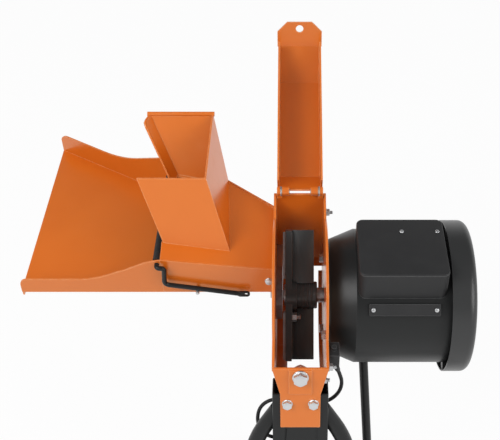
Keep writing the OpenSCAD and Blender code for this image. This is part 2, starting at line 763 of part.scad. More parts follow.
// Pivot rod of the flap with its bent hand lever
module flap_lever() color(black) head() {
    top = [flap_x, lever_y, flap_z];
    bend = [flap_x + 9, lever_y, floor_z + lever_rise];
    tip = [flap_x + lever_l, lever_y, floor_z + 3];
    translate(top) rotate([-90, 0, 0]) cylinder(h = far_y(throat_start) - lever_y + 6, r = flap_pin_r);
    for (p = [top, bend]) translate(p) sphere(flap_pin_r + bend_swell);
    bar(top, bend, flap_pin_r - 0.1);
    bar(bend, tip, flap_pin_r - 0.2);
    translate(tip + [0, eye_t / 2, 0]) rotate([90, 0, 0]) difference() {
        translate([-6, -5]) linear_extrude(eye_t) round_rect(20, 10, 4.9);
        translate([8, 0, -1]) cylinder(h = eye_t + 2, r = eye_r);
    }
}
eye_r = 3;
eye_t = 4;
module round_rect_mid(w, d, r) { translate([-w / 2, -d / 2]) round_rect(w, d, r); }
module rubber_flap() color(rubber) head() difference() {
    l = flap_y1 - flap_y0;
    low = floor_z + sheet_t + 3;
    union() {
        translate([flap_x, flap_y0, flap_z]) rotate([-90, 0, 0]) cylinder(h = l, r = flap_sleeve_r);
        yz(flap_x - flap_t / 2, flap_t)
            polygon([[flap_y0, low], [flap_y1 - flap_taper, low], [flap_y1, flap_z], [flap_y0, flap_z]]);
    }
    translate([flap_x, flap_y0 - 1, flap_z]) rotate([-90, 0, 0]) cylinder(h = l + 2, r = flap_pin_r);
    for (i = [1:4]) translate([flap_x - flap_t, flap_y0 + i * l / 5 - 1, low - 1]) cube([2 * flap_t, 2, 36]);
}

// Cover switch with its lead
switch_y = -126;
module cover_switch() color(black) head() {
    translate([outer_w, switch_y - 13, -8]) cube([16, 26, 28]);
    translate([outer_w + 8, switch_y, 20]) cylinder(h = 5, r = 4);
}
gland_lean = 18;
gland_l = 12;
module gland_place() { translate([outer_w + 8, switch_y, -8]) rotate([0, -gland_lean, 0]) children(); }
module switch_gland() color(black) head() difference() {
    gland_place() union() {
        translate([0, 0, -gland_l]) cylinder(h = gland_l + 4, r = 5.5);
        translate([0, 0, -8]) cylinder(h = 4, d = 12.5 / cos(30), $fn = 6);
    }
    gland_place() translate([0, 0, -gland_l - 1]) cylinder(h = gland_l + 8, r = cable_r + 0.5);
    translate([outer_w, switch_y - 20, -8]) cube([40, 40, 20]);
}
cable_r = 3;
function neck_at(x, s, out) = [x, neck_yz(s, out)[0], neck_yz(s, out)[1]];
grommet_s = 194;
function gland_at(t) = [outer_w + 8 + t * sin(gland_lean), switch_y, -8 - t * cos(gland_lean)];
cable_path = [
    gland_at(0.5), gland_at(8), gland_at(16), [outer_w + 18.3, -126.5, -40], [outer_w + 21.8, -127, -58],
    [outer_w + 20.2, -127.5, -76], [outer_w + 13.5, -128, -92], [outer_w + 2.5, -128.5, -104],
    neck_at(31, 116, -63), neck_at(16, 118.5, -63), neck_at(0, 118, -63), neck_at(-18, 113, -62),
    neck_at(-33, 109.5, -61), neck_at(-45, 110.5, -61), neck_at(-56, 117, -61), neck_at(-63.5, 127.5, -61),
    neck_at(-67, 141, -61), neck_at(-67, 156, -61), neck_at(-62.5, 171, -61), neck_at(-54, 182, -62),
    neck_at(-42, 189.5, -64.5), neck_at(-28, 193, -66.5), neck_at(-15, 194, -65.5), neck_at(-6, 194, -60.5),
    neck_at(-1.2, 194, -53.5), neck_at(0, grommet_s, -46), neck_at(0, grommet_s, -41), neck_at(0, grommet_s, -36)
];
// Smooth path through the points, and a round tube along it
function curve_at(p, i, t) = let (
    n = len(p), a = p[max(i - 1, 0)], b = p[i], c = p[i + 1], d = p[min(i + 2, n - 1)]
) 0.5 * (2 * b + (c - a) * t + (2 * a - 5 * b + 4 * c - d) * t * t + (3 * b - a - 3 * c + d) * t * t * t);
function curve(p, steps) = concat(
    [for (i = [0:len(p) - 2]) for (k = [0:steps - 1]) curve_at(p, i, k / steps)], [p[len(p) - 1]]
);
function unit(v) = v / norm(v);
module tube_along(p, r, sides) {
    n = len(p);
    rings = [for (i = [0:n - 1]) let (
        t = unit(p[min(i + 1, n - 1)] - p[max(i - 1, 0)]), e = unit(cross(t, [0, 1, 0])), f = cross(t, e)
    ) for (k = [0:sides - 1]) p[i] + r * (cos(360 * k / sides) * e + sin(360 * k / sides) * f)];
    faces = concat(
        [[for (k = [0:sides - 1]) k]],
        [[for (k = [sides - 1:-1:0]) (n - 1) * sides + k]],
        [for (i = [0:n - 2]) for (k = [0:sides - 1]) let (j = (k + 1) % sides)
            [i * sides + k, (i + 1) * sides + k, (i + 1) * sides + j]],
        [for (i = [0:n - 2]) for (k = [0:sides - 1]) let (j = (k + 1) % sides)
            [i * sides + k, (i + 1) * sides + j, i * sides + j]]
    );
    polyhedron(rings, faces);
}
module switch_cable() color(rubber) head() tube_along(curve(cable_path, 3), cable_r - run_fit, 10);
module grommet_place() { neck_plane(-column_d) translate([0, -grommet_s, 0]) children(); }
module cable_grommet() color(rubber) head() grommet_place() difference() {
    translate([0, 0, -5]) cylinder(h = 5, r = 8);
    translate([0, 0, -6]) cylinder(h = 7, r = cable_r + face_gap);
}

// Stand
module below(z) { translate([-600, -600, z - 400]) cube([1200, 1600, 400]); }
module column_solid(inset) {
    head() neck_plane(0) translate([-column_w / 2 + inset, -column_s - 40, -column_d + inset])
        cube([column_w - 2 * inset, column_s + 40 - neck_foot + (inset > 0 ? 1 : 0), column_d - 2 * inset]);
}
module stand_column() color(black) difference() {
    column_solid(0);
    column_solid(tube_wall);
    below(tube);
    head() neck_bolt_places() translate([0, 0, -column_d - 1]) cylinder(h = column_d + 2, r = m8_r);
    head() grommet_place() translate([0, 0, -1]) cylinder(h = tube_wall + 2, r = cable_r + 1);
}
module neck_bolt_places() {
    neck_plane(0) for (side = [-1, 1]) translate([side * neck_bolt_x, -neck_bolt_s, 0]) children();
}
module neck_bolts() color(steel) head() neck_bolt_places() {
    translate([0, 0, plate_t]) cylinder(h = m8_head, d = m8_af / cos(30), $fn = 6);
    translate([0, 0, -column_d - 10]) cylinder(h = column_d + 10 + plate_t + eps, r = m8_r);
    translate([0, 0, -column_d - 7]) cylinder(h = 7, d = m8_af / cos(30), $fn = 6);
}
module cross_tube(y0) {
    translate([base_x - cross_l / 2, y0 - tube / 2, 0]) difference() {
        cube([cross_l, tube, tube]);
        translate([-1, tube_wall, tube_wall]) cube([cross_l + 2, tube - 2 * tube_wall, tube - 2 * tube_wall]);
    }
}
module front_cross_tube() color(black) cross_tube(0);
module rear_cross_tube() color(black) cross_tube(rear_y);
module cross_tube_caps() color(rubber) for (y = [0, rear_y], side = [-1, 1])
    translate([base_x + side * (cross_l / 2 + cap_t / 2), y, tube / 2])
        cube([cap_t, tube, tube], center = true);
module rail(x0) {
    translate([x0 - tube / 2, tube / 2, 0]) difference() {
        cube([tube, rear_y - tube, tube]);
        translate([tube_wall, -1, tube_wall]) cube([tube - 2 * tube_wall, rear_y, tube - 2 * tube_wall]);
    }
}
module left_rail() color(black) rail(base_x - rail_x);
module right_rail() color(black) rail(base_x + rail_x);
// Line from a over b to c, rounded at b from k before it to k after it
function bent(a, b, c, k) = let (p = b - k * unit(b - a), q = b + k * unit(c - b))
    concat([a], [for (t = [0:1 / 6:1.01]) (1 - t) * (1 - t) * p + 2 * t * (1 - t) * b + t * t * q], [c]);
// Bent tube from the column's side down to the front cross tube
module brace(side) {
    top = [side * (column_w / 2 - 8), -neck_foot - brace_r - brace_drop, 0];
    bend = [side * (column_w / 2 + brace_out), -brace_bend, 0];
    foot = [side * (bracket_x - base_x - brace_gap - brace_r), -column_s - 20, 0];
    difference() {
        head() neck_plane(-column_d / 2) tube_along(bent(top, bend, foot, 40), brace_r, 24);
        column_solid(0);
        below(tube);
    }
}
module left_brace() color(black) brace(-1);
module right_brace() color(black) brace(1);
module motor_leg() color(black) difference() {
    head() bar([leg_top[0], leg_top[1], -barrel_r + 6], [leg_foot[0], leg_foot[1], -axis_z + 10], leg_r);
    head() xcyl(barrel_x - 60, barrel_l + 60, barrel_r);
    below(tube);
}
module each_wheel() { for (side = [-1, 1]) wheel_side(side) children(); }
module wheel_brackets() color(black) each_wheel() difference() {
    translate([bracket_x, -tube / 2, tube - axle_z]) cube([bracket_t, tube, axle_z - tube + bracket_up]);
    xcyl(bracket_x - 1, bracket_t + 2, axle_r);
}
module wheel_axles() color(steel) each_wheel() {
    xcyl(bracket_x, wheel_x + wheel_w + 2 + axle_cap_t - 1 - bracket_x, axle_r);
    xcyl(bracket_x - 6, 6, axle_r + 5);
    xring(bracket_x + bracket_t, wheel_x - 1 - bracket_x - bracket_t, axle_r + 5, axle_r);
}
module axle_caps() color(black) each_wheel() difference() {
    xcyl(wheel_x + wheel_w + 1, axle_cap_t + 1, axle_r + 6);
    xcyl(wheel_x + wheel_w, 1 + axle_cap_t, axle_r);
}
tyre_t = 14;
module wheel_side(side) { translate([base_x, 0, axle_z]) rotate([0, 0, side < 0 ? 180 : 0]) children(); }
module rim() {
    r = wheel_r - tyre_t;
    difference() {
        union() {
            xring(wheel_x + 4, wheel_w - 8, r, r - 6);
            xcyl(wheel_x + wheel_w / 2 - 4, 8, r - 1);
            xcyl(wheel_x, wheel_w, axle_r + 8);
        }
        xcyl(wheel_x - 1, wheel_w + 2, axle_r + run_fit);
        for (a = [0:60:300]) rotate([a, 0, 0]) translate([0, (r + axle_r + 2) / 2, 0])
            xcyl(wheel_x, wheel_w, 13);
    }
}
module tyre() {
    r = wheel_r - tyre_t;
    translate([wheel_x, 0, 0]) rotate([0, 90, 0]) rotate_extrude() difference() {
        union() {
            translate([r - 1, 4]) square([tyre_t - 7, wheel_w - 8]);
            translate([r, 10]) square([tyre_t, wheel_w - 20]);
            for (y = [10, wheel_w - 10]) translate([wheel_r - 8, y]) circle(8);
        }
        translate([0, -1]) square([r, wheel_w + 2]);
    }
}
module left_rim() color(steel) wheel_side(-1) rim();
module right_rim() color(steel) wheel_side(1) rim();
module left_tyre() color(rubber) wheel_side(-1) tyre();
module right_tyre() color(rubber) wheel_side(1) tyre();

left_side_plate();
right_side_plate();
back_wall();
neck_plate();
latch_bolt();
chamber_bolts();
bed_knife();
hinge_pins();
top_cover();
rotor_arm();
rotor_hub();
rotor_paddles();
chipping_knives();
knife_bolts();
shaft_end_bolt();
motor_shaft();
rotor_core();
cooling_fan();
end_bell();
motor_barrel();
stator_core();
stator_windings();
front_bearing();
rear_bearing();
rear_shield();
fan_cowl();
flange_bolts();
terminal_box();
box_lid();
box_screws();
start_capacitor();
box_strip();
feed_throat();
loading_tray();
mulch_hood();
throat_bolts();
flap_lever();
rubber_flap();
cover_switch();
switch_gland();
switch_cable();
cable_grommet();
stand_column();
neck_bolts();
front_cross_tube();
rear_cross_tube();
cross_tube_caps();
left_brace();
right_brace();
left_rail();
right_rail();
motor_leg();
wheel_brackets();
wheel_axles();
left_rim();
right_rim();
left_tyre();
right_tyre();
axle_caps();
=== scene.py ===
"""Electric garden shredder on a wheeled stand: its looks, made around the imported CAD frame.

Modelling steps work in millimetres from the middle of the rotor shaft. Finished meshes are in
metres in the row frame, where the CAD has them.
"""
import json
import math

import bmesh
import bpy
from mathutils import Matrix, Vector


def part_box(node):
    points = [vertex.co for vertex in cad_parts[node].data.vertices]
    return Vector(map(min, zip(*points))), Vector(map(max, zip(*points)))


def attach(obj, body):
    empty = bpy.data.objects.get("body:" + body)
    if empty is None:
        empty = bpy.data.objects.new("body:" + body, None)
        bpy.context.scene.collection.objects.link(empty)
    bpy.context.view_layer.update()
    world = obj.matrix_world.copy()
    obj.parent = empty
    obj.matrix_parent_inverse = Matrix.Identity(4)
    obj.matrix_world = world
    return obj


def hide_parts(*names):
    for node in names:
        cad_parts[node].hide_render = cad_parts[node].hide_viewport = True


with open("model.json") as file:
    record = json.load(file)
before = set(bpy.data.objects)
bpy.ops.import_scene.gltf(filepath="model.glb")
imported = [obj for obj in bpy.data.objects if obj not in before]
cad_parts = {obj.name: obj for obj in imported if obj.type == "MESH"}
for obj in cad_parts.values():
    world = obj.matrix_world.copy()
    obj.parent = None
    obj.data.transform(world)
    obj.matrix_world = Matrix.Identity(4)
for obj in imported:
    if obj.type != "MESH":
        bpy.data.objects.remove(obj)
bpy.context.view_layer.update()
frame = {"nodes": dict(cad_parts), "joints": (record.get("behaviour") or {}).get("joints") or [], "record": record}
nodes = frame["nodes"]
record = frame["record"]
scene = bpy.context.scene
scene.view_settings.view_transform = "Standard"

# Middle of the rotor shaft in the row frame, in metres
SHAFT = next(joint["pos_m"] for joint in frame["joints"] if joint["name"] == "rotor_spin")

# Places that several pieces share
NECK_LEAN = 15                   # degrees that the neck and the column lean
LIP_REACH, LIP_Z = 158, 18       # top edge of the neck's back face
PLATE_IN, PLATE_OUT = 38, 42     # inner and outer faces of the chamber's side plates
ARM_TURN = 47                    # degrees that the rotor arm stands at rest
FLAP_X, FLAP_Z = -221, 74        # middle of the flap's pivot rod
LEVER_Y = -12                    # plane of the hand lever
NEAR_Y = -4                      # outer face of the throat's near wall
HINGE_Y, HINGE_Z = 116, 119      # middle of the cover's hinge pins
LID_TOP = 125                    # top face of the terminal lid


def mm(*values):
    return tuple(v / 1000 for v in values)


def at_head(x, y, z):
    """Point in millimetres from the rotor's middle, as metres in the row frame."""
    return (x / 1000, SHAFT[1] + y / 1000, SHAFT[2] + z / 1000)


def neck_at(x, s, out):
    """Point s down the leaning neck and out from its back face, from the rotor's middle."""
    lean = math.radians(NECK_LEAN)
    return (x, -LIP_REACH - s * math.sin(lean) - out * math.cos(lean),
            LIP_Z - s * math.cos(lean) + out * math.sin(lean))


# Camera: long lens, looking down along +Y
LOOK_DOWN = 43
camera_data = bpy.data.cameras.new("camera")
camera_data.lens, camera_data.sensor_width = 64.8, 36
camera_data.shift_x = -0.09
camera_data.clip_end = 50
camera = bpy.data.objects.new("camera", camera_data)
scene.collection.objects.link(camera)
camera.location = at_head(-8.0, -971.3, 1069.8)
camera.rotation_euler = (math.radians(90 - LOOK_DOWN), 0, 0)
scene.camera = camera

# Lead of the cover switch: out of its gland, round behind the column and into the grommet there
GLAND, GLAND_LEAN = (50, -126, -8), 18
LEAD_R = 3
GROMMET_S = 194                  # how far down the column the grommet is


def gland_at(t):
    lean = math.radians(GLAND_LEAN)
    return (GLAND[0] + t * math.sin(lean), GLAND[1], GLAND[2] - t * math.cos(lean))


lead_route = [gland_at(t) for t in (0.5, 8, 16)]
lead_route += [
    (60.3, -126.5, -40), (63.8, -127, -58), (62.2, -127.5, -76), (55.5, -128, -92),
    (44.5, -128.5, -104)]
lead_route += [neck_at(*place) for place in (
    (31, 116, -63), (16, 118.5, -63), (0, 118, -63), (-18, 113, -62), (-33, 109.5, -61),
    (-45, 110.5, -61), (-56, 117, -61), (-63.5, 127.5, -61), (-67, 141, -61), (-67, 156, -61),
    (-62.5, 171, -61), (-54, 182, -62), (-42, 189.5, -64.5), (-28, 193, -66.5))]
lead_route += [neck_at(x, GROMMET_S, out) for x, out in (
    (-15, -65.5), (-6, -60.5), (-1.2, -53.5), (0, -46), (0, -41), (0, -36))]
lead_points = [Vector(at_head(*p)) for p in lead_route]
lead_curve = bpy.data.curves.new("switch_lead", "CURVE")
lead_curve.dimensions = "3D"
lead_curve.bevel_depth = 1.0
lead_curve.bevel_resolution = 5
lead_curve.resolution_u = 8
lead_curve.use_fill_caps = True
spline = lead_curve.splines.new("BEZIER")
spline.bezier_points.add(len(lead_points) - 1)
for k, (point, knot) in enumerate(zip(lead_points, spline.bezier_points)):
    before, after = lead_points[max(k - 1, 0)], lead_points[min(k + 1, len(lead_points) - 1)]
    knot.co, knot.radius = point, (LEAD_R - 0.05) / 1000
    knot.handle_left = point - (after - before) / 6
    knot.handle_right = point + (after - before) / 6
switch_lead = bpy.data.objects.new("switch_lead", lead_curve)
scene.collection.objects.link(switch_lead)
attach(switch_lead, "frame")
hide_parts("switch_cable")


# Node steps that the effects, the floor and the world share
def new_group(name, inputs, outputs):
    kinds = {tuple: "NodeSocketColor", float: "NodeSocketFloat", Vector: "NodeSocketVector"}
    group = bpy.data.node_groups.new(name, "ShaderNodeTree")
    for socket, value in inputs.items():
        made = group.interface.new_socket(
            socket, in_out="INPUT", socket_type=kinds[type(value)])
        made.default_value = value
    for socket, kind in outputs.items():
        group.interface.new_socket(socket, in_out="OUTPUT", socket_type=kind)
    return group, group.nodes.new("NodeGroupInput"), group.nodes.new("NodeGroupOutput")


def add(tree, kind, **values):
    """New node with its sockets or settings given by name."""
    node = tree.nodes.new(kind)
    for key, value in values.items():
        if key in node.inputs:
            node.inputs[key].default_value = value
        else:
            setattr(node, key, value)
    return node


def join(tree, source, target):
    tree.links.new(source, target)


def feed(tree, *pairs):
    """Give each socket a link or a plain value."""
    for socket, value in pairs:
        if isinstance(value, bpy.types.NodeSocket):
            join(tree, value, socket)
        else:
            socket.default_value = value


def mixer(tree, factor, a, b):
    node = add(tree, "ShaderNodeMix", data_type="RGBA")
    feed(tree, (node.inputs[0], factor), (node.inputs[6], a), (node.inputs[7], b))
    return node.outputs[2]


def maths(tree, operation, a, b=0.0, clamp=False):
    node = add(tree, "ShaderNodeMath", operation=operation, use_clamp=clamp)
    feed(tree, (node.inputs[0], a), (node.inputs[1], b))
    return node.outputs[0]


def spread(tree, value, low, high, to_low=0.0, to_high=1.0):
    node = tree.nodes.new("ShaderNodeMapRange")
    ends = {"From Min": low, "From Max": high, "To Min": to_low, "To Max": to_high}
    for socket, end in ends.items():
        node.inputs[socket].default_value = end
    join(tree, value, node.inputs["Value"])
    return node.outputs["Result"]


def noise(tree, vector, scale, detail=4.0, rough=0.5):
    node = add(tree, "ShaderNodeTexNoise", Scale=scale, Detail=detail, Roughness=rough)
    join(tree, vector, node.inputs["Vector"])
    return node.outputs["Fac"]


def edge_mask(tree, radius):
    """One along bends and cut edges, nought on flat ground, from how a rounded normal leaves it."""
    rounded = add(tree, "ShaderNodeBevel", Radius=radius, samples=6)
    dot = add(tree, "ShaderNodeVectorMath", operation="DOT_PRODUCT")
    join(tree, rounded.outputs["Normal"], dot.inputs[0])
    join(tree, tree.nodes.new("ShaderNodeNewGeometry").outputs["Normal"], dot.inputs[1])
    return spread(tree, dot.outputs["Value"], 0.985, 0.88)


# Shared effects, each one node group
EFFECT = {"Colour": "NodeSocketColor", "Rough": "NodeSocketFloat", "Height": "NodeSocketFloat"}


def sprayed_coat():
    """Sprayed coat: fine orange-peel height, slow colour drift, scuffs and painted edge highlights."""
    g, i, o = new_group("sprayed_coat", {
        "Colour": (0.5, 0.1, 0.02, 1), "Deep": (0.4, 0.07, 0.01, 1), "Bare": (0.3, 0.3, 0.3, 1),
        "Peel": 0.3, "Rough": 0.25, "Wear": 0.3}, EFFECT)
    place = g.nodes.new("ShaderNodeTexCoord").outputs["Object"]
    drift = noise(g, place, 7.0, 3.0, 0.5)
    peel = noise(g, place, 520.0, 2.0, 0.5)
    grain = noise(g, place, 130.0, 6.0, 0.65)
    scuff = noise(g, place, 45.0, 6.0, 0.7)
    # Painted highlight: edges and bends are mixed toward a lighter colour, broken up by grain
    lit_edge_mask = maths(g, "MULTIPLY", edge_mask(g, 0.0022), spread(g, grain, 0.40, 0.60, 0.45, 1.0))
    highlight_share = maths(g, "MULTIPLY", lit_edge_mask, i.outputs["Wear"], True)
    colour = mixer(g, spread(g, drift, 0.35, 0.65), i.outputs["Colour"], i.outputs["Deep"])
    join(g, mixer(g, highlight_share, colour, i.outputs["Bare"]), o.inputs["Colour"])
    # Scuffs: handled patches are rougher, by the same strength
    handled = maths(g, "MULTIPLY", spread(g, scuff, 0.50, 0.75), i.outputs["Wear"])
    rough = maths(g, "ADD", i.outputs["Rough"], maths(g, "MULTIPLY", handled, 0.12), True)
    join(g, rough, o.inputs["Rough"])
    join(g, maths(g, "MULTIPLY", peel, i.outputs["Peel"]), o.inputs["Height"])
    return g


def bare_metal():
    """Unpainted metal: fine brushing, cloudy plating and dark specks."""
    g, i, o = new_group("bare_metal", {
        "Colour": (0.6, 0.6, 0.6, 1), "Stain": (0.3, 0.28, 0.25, 1), "Rough": 0.3, "Dirt": 0.3,
        "Brush": Vector((40, 900, 900))}, EFFECT)
    place = g.nodes.new("ShaderNodeTexCoord").outputs["Object"]
    brush_map = add(g, "ShaderNodeMapping")
    join(g, place, brush_map.inputs["Vector"])
    join(g, i.outputs["Brush"], brush_map.inputs["Scale"])
    brush = noise(g, brush_map.outputs["Vector"], 1.0, 3.0, 0.6)
    cloud = noise(g, place, 60.0, 6.0, 0.65)
    stain = maths(g, "MULTIPLY", spread(g, cloud, 0.5, 0.75), i.outputs["Dirt"], True)
    join(g, mixer(g, stain, i.outputs["Colour"], i.outputs["Stain"]), o.inputs["Colour"])
    rough = maths(g, "ADD", i.outputs["Rough"], spread(g, brush, 0.3, 0.7, -0.06, 0.08))
    rough = maths(g, "ADD", rough, maths(g, "MULTIPLY", stain, 0.3), True)
    join(g, rough, o.inputs["Rough"])
    join(g, brush, o.inputs["Height"])
    return g


def moulded_skin():
    """Moulded plastic or rubber: grained skin, slight bloom and painted edge highlights."""
    g, i, o = new_group("moulded_skin", {
        "Colour": (0.02, 0.02, 0.02, 1), "Bloom": (0.08, 0.08, 0.08, 1),
        "Rubbed": (0.1, 0.1, 0.1, 1), "Rough": 0.5, "Grain": 700.0}, EFFECT)
    place = g.nodes.new("ShaderNodeTexCoord").outputs["Object"]
    cells = g.nodes.new("ShaderNodeTexVoronoi")
    join(g, place, cells.inputs["Vector"])
    join(g, i.outputs["Grain"], cells.inputs["Scale"])
    cloud = noise(g, place, 28.0, 6.0, 0.6)
    bloom = spread(g, cloud, 0.45, 0.8, 0.0, 0.6)
    skin = mixer(g, bloom, i.outputs["Colour"], i.outputs["Bloom"])
    # Painted highlight: the edges are mixed toward a lighter colour
    join(g, mixer(g, edge_mask(g, 0.0012), skin, i.outputs["Rubbed"]), o.inputs["Colour"])
    rough = maths(g, "ADD", i.outputs["Rough"], spread(g, cloud, 0.3, 0.7, -0.06, 0.08), True)
    join(g, rough, o.inputs["Rough"])
    join(g, cells.outputs["Distance"], o.inputs["Height"])
    return g


COAT, METAL, SKIN = sprayed_coat(), bare_metal(), moulded_skin()


def finish_material(name, effect_group, bump, depth, sockets, **values):
    """Material whose colour, roughness and bump come from one effect with its own values."""
    material = bpy.data.materials.new(name)
    material.use_nodes = True
    tree = material.node_tree
    shader = tree.nodes["Principled BSDF"]
    for key, value in sockets.items():
        shader.inputs[key].default_value = value
    effect = add(tree, "ShaderNodeGroup", node_tree=effect_group)
    for key, value in values.items():
        effect.inputs[key].default_value = value
    join(tree, effect.outputs["Colour"], shader.inputs["Base Color"])
    join(tree, effect.outputs["Rough"], shader.inputs["Roughness"])
    bumped = add(tree, "ShaderNodeBump", Strength=bump, Distance=depth)
    join(tree, effect.outputs["Height"], bumped.inputs["Height"])
    join(tree, bumped.outputs["Normal"], shader.inputs["Normal"])
    return material


# The lighter edge colour given to each coat is a painted highlight
orange_paint = finish_material(
    "orange_paint", COAT, 0.03, 0.0003,
    {"Coat Weight": 0.20, "Coat Roughness": 0.10, "Specular IOR Level": 1.0,
     "Specular Tint": (1, 0.94, 0.55, 1)},
    Colour=(0.610, 0.128, 0.008, 1), Deep=(0.580, 0.116, 0.006, 1), Bare=(0.80, 0.44, 0.22, 1),
    Peel=0.4, Rough=0.28, Wear=0.55)
black_paint = finish_material(
    "black_paint", COAT, 0.06, 0.0003, {"Specular IOR Level": 0.28},
    Colour=(0.0120, 0.0125, 0.0125, 1), Deep=(0.0115, 0.0120, 0.0120, 1),
    Bare=(0.05, 0.05, 0.05, 1), Peel=0.5, Rough=0.36, Wear=0.12)
# Black paint made lighter for the rotor: painted light in the shaded chamber
lit_rotor_paint = finish_material(
    "lit_rotor_paint", COAT, 0.08, 0.0003, {"Specular IOR Level": 0.6},
    Colour=(0.030, 0.032, 0.0315, 1), Deep=(0.024, 0.026, 0.0255, 1),
    Bare=(0.12, 0.12, 0.12, 1), Peel=0.7, Rough=0.36, Wear=0.5)
# Black paint made lighter for the fan cowl: a painted sheen from the light on its right
lit_cowl_paint = finish_material(
    "lit_cowl_paint", COAT, 0.06, 0.0003, {"Specular IOR Level": 0.5},
    Colour=(0.022, 0.0225, 0.0225, 1), Deep=(0.020, 0.0205, 0.0205, 1),
    Bare=(0.08, 0.08, 0.08, 1), Peel=0.5, Rough=0.34, Wear=0.2)
zinc_steel = finish_material(
    "zinc_steel", METAL, 0.08, 0.0002, {"Metallic": 1.0},
    Colour=(0.66, 0.67, 0.68, 1), Stain=(0.40, 0.39, 0.36, 1),
    Rough=0.40, Dirt=0.35, Brush=(90, 90, 500))
tool_steel = finish_material(
    "tool_steel", METAL, 0.12, 0.0002, {"Metallic": 1.0},
    Colour=(0.40, 0.40, 0.41, 1), Stain=(0.14, 0.13, 0.12, 1),
    Rough=0.34, Dirt=0.6, Brush=(60, 700, 700))
core_iron = finish_material(
    "core_iron", METAL, 0.3, 0.0004, {"Metallic": 1.0},
    Colour=(0.22, 0.22, 0.23, 1), Stain=(0.10, 0.09, 0.08, 1),
    Rough=0.45, Dirt=0.5, Brush=(1400, 20, 20))
copper_wire = finish_material(
    "copper_wire", METAL, 0.5, 0.0006, {"Metallic": 1.0},
    Colour=(0.52, 0.20, 0.07, 1), Stain=(0.25, 0.09, 0.03, 1),
    Rough=0.35, Dirt=0.4, Brush=(900, 120, 120))
# The lighter edge colour given to each plastic and to the rubber is a painted highlight
black_plastic = finish_material(
    "black_plastic", SKIN, 0.03, 0.0002, {"Specular IOR Level": 0.32},
    Colour=(0.019, 0.019, 0.0195, 1), Bloom=(0.024, 0.024, 0.024, 1),
    Rubbed=(0.10, 0.10, 0.10, 1), Rough=0.50, Grain=900.0)
rubber_black = finish_material(
    "rubber_black", SKIN, 0.2, 0.0003, {"Specular IOR Level": 0.35},
    Colour=(0.012, 0.012, 0.012, 1), Bloom=(0.026, 0.026, 0.026, 1),
    Rubbed=(0.035, 0.035, 0.035, 1), Rough=0.58, Grain=600.0)
wheel_plastic = finish_material(
    "wheel_plastic", SKIN, 0.1, 0.0002, {},
    Colour=(0.26, 0.26, 0.27, 1), Bloom=(0.32, 0.32, 0.32, 1),
    Rubbed=(0.40, 0.40, 0.40, 1), Rough=0.45, Grain=800.0)
slot_finish = {
    "orange_paint": orange_paint, "black_paint": black_paint, "zinc_steel": zinc_steel,
    "tool_steel": tool_steel, "core_iron": core_iron, "winding_copper": copper_wire,
    "capacitor_can": zinc_steel, "black_plastic": black_plastic, "wheel_plastic": wheel_plastic,
    "rubber": rubber_black, "tyre_rubber": rubber_black,
}
# The cowl and the rotor take the lightened black paints above, which are painted light
lit_copy_finish = {"fan_cowl": lit_cowl_paint, "rotor_arm": lit_rotor_paint, "rotor_hub": lit_rotor_paint}
slot_of = {part["node"]: part["material_slot"] for part in record["subparts"]}
for name, piece in nodes.items():
    piece.data.materials.clear()
    piece.data.materials.append(lit_copy_finish.get(name, slot_finish[slot_of[name]]))
switch_lead.data.materials.append(rubber_black)

# Sheet, cast and tube pieces get a small edge radius, in millimetres
EDGE_RADIUS = {
    "left_side_plate": 0.7, "right_side_plate": 0.7, "back_wall": 0.6, "neck_plate": 0.8,
    "top_cover": 0.7, "feed_throat": 0.7, "loading_tray": 0.7, "mulch_hood": 0.7,
    "terminal_box": 1.2, "box_strip": 1.0, "stand_column": 3.0, "front_cross_tube": 3.0,
    "rear_cross_tube": 3.0, "left_rail": 2.5, "right_rail": 2.5, "rotor_arm": 0.8,
    "end_bell": 1.0, "cover_switch": 1.5, "bed_knife": 0.4, "chipping_knives": 0.3,
    "wheel_brackets": 1.5, "cross_tube_caps": 2.0, "axle_caps": 1.5, "left_rim": 1.0,
    "right_rim": 1.0, "rotor_hub": 0.5, "cooling_fan": 0.5,
}
for name, width in EDGE_RADIUS.items():
    piece = nodes[name]
    weld = piece.modifiers.new("weld", "WELD")
    weld.merge_threshold = 0.00002
    edge = piece.modifiers.new("edge", "BEVEL")
    edge.width, edge.segments = width / 1000, 2
    edge.limit_method = "ANGLE"
    edge.angle_limit = math.radians(12 if name == "end_bell" else 35)
    even = piece.modifiers.new("even", "WEIGHTED_NORMAL")
    even.weight, even.keep_sharp = 100, True


# Hand modelling: the steps that the pieces share
def clear():
    if bpy.context.object and bpy.context.object.mode != "OBJECT":
        bpy.ops.object.mode_set(mode="OBJECT")
    bpy.ops.object.select_all(action="DESELECT")


def choose(piece):
    clear()
    piece.select_set(True)
    bpy.context.view_layer.objects.active = piece


def fresh(name):
    piece = bpy.context.object
    piece.name = piece.data.name = name
    return piece


def settle(piece):
    choose(piece)
    bpy.ops.object.transform_apply(location=True, rotation=True, scale=True)
    return piece


def put(piece, place):
    """Move a piece by a matrix, and leave the move in its mesh."""
    piece.matrix_world = place
    return settle(piece)


def shift(x, y, z):
    return Matrix.Translation(mm(x, y, z))


def turn(degrees, axis):
    return Matrix.Rotation(math.radians(degrees), 4, axis)


def edit(piece, kind):
    choose(piece)
    bpy.ops.object.mode_set(mode="EDIT")
    bpy.ops.mesh.select_mode(type=kind)
    bpy.ops.mesh.select_all(action="DESELECT")
    return bmesh.from_edit_mesh(piece.data)


def close_up():
    """Merge doubled points, turn all faces outwards and leave edit mode."""
    bpy.ops.mesh.select_all(action="SELECT")
    bpy.ops.mesh.remove_doubles(threshold=0.000005)
    bpy.ops.mesh.normals_make_consistent(inside=False)
    bpy.ops.object.mode_set(mode="OBJECT")


def pick_faces(piece, test):
    """Select the faces whose middle (in mm) and normal pass the test, and stay in edit mode."""
    shape = edit(piece, "FACE")
    for face in shape.faces:
        if test(face.calc_center_median() * 1000, face.normal):
            face.select_set(True)
    bmesh.update_edit_mesh(piece.data)


